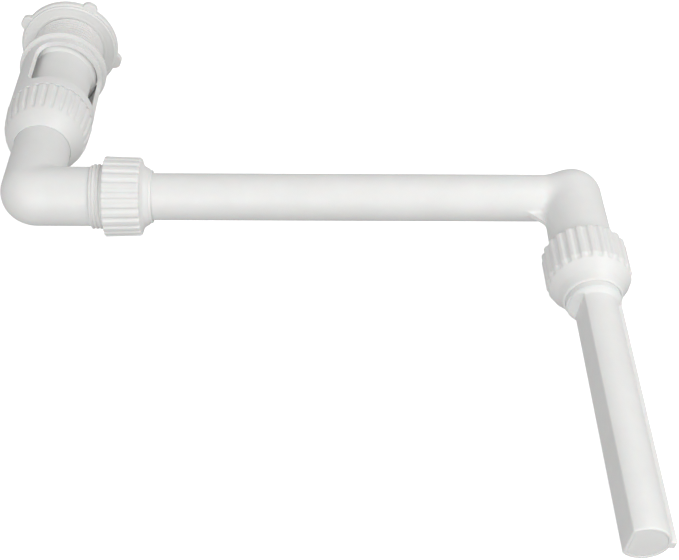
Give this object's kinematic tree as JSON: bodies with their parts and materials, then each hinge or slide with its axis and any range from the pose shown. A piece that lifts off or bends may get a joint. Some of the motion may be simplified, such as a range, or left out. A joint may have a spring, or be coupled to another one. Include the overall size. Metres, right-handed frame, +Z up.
{
  "type": "pool waterfall spout fitting",
  "caption": "White plastic pool waterfall fitting: clamped wall inlet, two swivelling elbows, a cross tube, ribbed union nuts and a half-round nozzle bar.",
  "frame": {"origin": "centre of the bounding box's foot", "axes": "+X along the cross tube from the inlet to the spout, +Y out of the inlet's mouth, +Z up"},
  "size_m": [0.4345, 0.4948, 0.0848],
  "materials": {
    "white_plastic": "white moulded plastic, satin, faintly cloudy",
    "inner_plastic": "plain white moulded plastic, inside the unions",
    "soft_white": "soft white gasket rubber",
    "seal_rubber": "black seal rubber, matte"
  },
  "bodies": {
    "neck": {"inlet_neck": "white_plastic", "neck_face_seal": "seal_rubber"},
    "gasket": {"wall_gasket": "soft_white"},
    "ring": {"lock_ring": "white_plastic"},
    "cage": {"clamp_cage": "white_plastic"},
    "wall_nut": {"inlet_nut": "white_plastic"},
    "elbow": {"inlet_elbow": "white_plastic", "elbow_retaining_ring": "inner_plastic", "elbow_o_ring": "seal_rubber"},
    "arm_washer": {"arm_slip_washer": "inner_plastic"},
    "elbow_nut": {"arm_nut": "white_plastic"},
    "tube": {"arm_tube": "white_plastic", "arm_cone_seal": "seal_rubber", "arm_grip_ring": "inner_plastic"},
    "spout_washer": {"spout_slip_washer": "inner_plastic"},
    "nozzle_nut": {"spout_nut": "white_plastic"},
    "spout": {"spout_body": "white_plastic", "spout_cone_seal": "seal_rubber", "spout_end_cap": "white_plastic"}
  },
  "joints": [
    {"name": "ring_travel", "type": "slide", "parent": "neck", "child": "gasket", "axis": [0, -1, 0], "range_m": [-0.0036, 0.0324]},
    {"name": "ring_turn", "type": "hinge", "parent": "gasket", "child": "ring", "pos_m": [-0.17905, 0.24139, 0.04606], "axis": [0, -1, 0], "range_deg": [-360, 3240]},
    {"name": "cage_travel", "type": "slide", "parent": "neck", "child": "cage", "axis": [0, -1, 0], "range_m": [0, 0.0174]},
    {"name": "inlet_nut_turn", "type": "hinge", "parent": "cage", "child": "wall_nut", "pos_m": [-0.17905, 0.1054, 0.04606], "axis": [0, -1, 0], "range_deg": [0, 1440]},
    {"name": "inlet_swivel", "type": "hinge", "parent": "neck", "child": "elbow", "pos_m": [-0.17905, 0.0904, 0.04606], "axis": [0, 1, 0], "continuous": true},
    {"name": "arm_washer_travel", "type": "slide", "parent": "elbow", "child": "arm_washer", "axis": [1, 0, 0], "range_m": [0, 0.014]},
    {"name": "arm_nut_turn", "type": "hinge", "parent": "arm_washer", "child": "elbow_nut", "pos_m": [-0.11405, 0.03039, 0.04606], "axis": [1, 0, 0], "range_deg": [0, 1800]},
    {"name": "arm_swivel", "type": "hinge", "parent": "elbow", "child": "tube", "pos_m": [-0.11905, 0.03039, 0.04606], "axis": [1, 0, 0], "continuous": true},
    {"name": "spout_washer_travel", "type": "slide", "parent": "tube", "child": "spout_washer", "axis": [0, -0.9934, -0.1149], "range_m": [0, 0.02]},
    {"name": "spout_nut_turn", "type": "hinge", "parent": "spout_washer", "child": "nozzle_nut", "pos_m": [0.18995, -0.04411, 0.03744], "axis": [0, -0.9934, -0.1149], "range_deg": [0, 1800]},
    {"name": "spout_swivel", "type": "hinge", "parent": "tube", "child": "spout", "pos_m": [0.18995, -0.04908, 0.03686], "axis": [0, -0.9934, -0.1149], "continuous": true}
  ],
  "couplings": [
    {"joint": "ring_travel", "follows": "ring_turn", "m_per_rad": 0.00057296},
    {"joint": "cage_travel", "follows": "inlet_nut_turn", "m_per_rad": 0.00069232},
    {"joint": "arm_washer_travel", "follows": "arm_nut_turn", "m_per_rad": 0.00044563},
    {"joint": "spout_washer_travel", "follows": "spout_nut_turn", "m_per_rad": 0.00063662}
  ]
}
